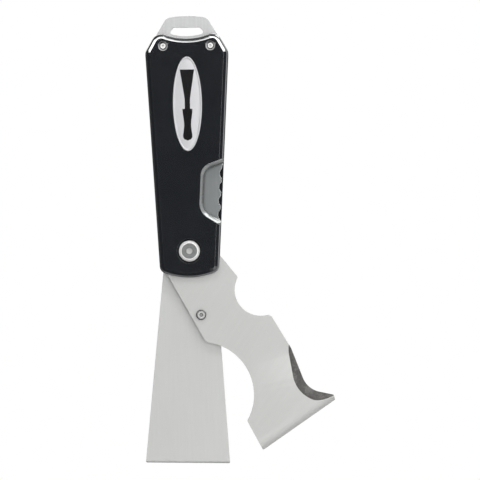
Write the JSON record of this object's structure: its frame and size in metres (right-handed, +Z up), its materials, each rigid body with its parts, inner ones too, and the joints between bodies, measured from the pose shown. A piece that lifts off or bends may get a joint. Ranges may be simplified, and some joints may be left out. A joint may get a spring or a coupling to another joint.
{
  "type": "folding painter's multi tool",
  "caption": "Folding painter's tool: a notched scraper blade and a flexible putty blade turn on one pivot in a handle with a hang loop.",
  "frame": {"origin": "centre of the hang slot, in the middle of the centre plate", "axes": "+Z up along the handle towards the loop, -Y is the front with the badge and thumb window, +X to the right seen from the front"},
  "size_m": [0.1144, 0.0184, 0.27],
  "materials": {
    "cover_black": "gloss",
    "bezel_silver": "satin",
    "badge_silver": "brushed satin",
    "liner_steel": "satin",
    "loop_steel": "satin",
    "leaf_steel": "satin",
    "rivet_steel": "satin",
    "washer_bronze": "satin",
    "bright_steel": "polished",
    "blade_steel": "ground satin",
    "putty_steel": "satin"
  },
  "bodies": {
    "handle": {"front_scale": "cover_black", "rear_scale": "cover_black", "window_bezel": "bezel_silver", "badge_plate": "badge_silver", "front_liner": "liner_steel", "rear_liner": "liner_steel", "centre_plate": "loop_steel", "lock_liner": "liner_steel", "leaf_rivets": "rivet_steel", "painter_blade_spacer": "liner_steel", "putty_blade_spacer": "liner_steel", "painter_blade_washers": "washer_bronze", "putty_blade_washers": "washer_bronze", "pivot_screw": "bright_steel", "pivot_barrel": "bright_steel", "front_scale_screws": "bright_steel", "rear_scale_screws": "bright_steel", "spine_rivets": "rivet_steel"},
    "painter_blade": {"painter_blade": "blade_steel", "thumb_stud": "bright_steel"},
    "putty_blade": {"putty_blade": "putty_steel"},
    "lock_leaf": {"lock_leaf": "leaf_steel"}
  },
  "joints": [
    {"name": "painter_blade_fold", "type": "hinge", "parent": "handle", "child": "painter_blade", "pos_m": [0, 0, -0.1321], "axis": [0, -1, 0], "range_deg": [-34.2, 145]},
    {"name": "putty_blade_fold", "type": "hinge", "parent": "handle", "child": "putty_blade", "pos_m": [0, 0, -0.1321], "axis": [0, -1, 0], "range_deg": [0, 178.8]},
    {"name": "lock_leaf_press", "type": "hinge", "parent": "handle", "child": "lock_leaf", "pos_m": [0, -0.00075, -0.0571], "axis": [1, 0, 0], "range_deg": [0, 0.56], "stiffness_Nm_per_rad": 0.8, "springref_deg": -0.69}
  ]
}
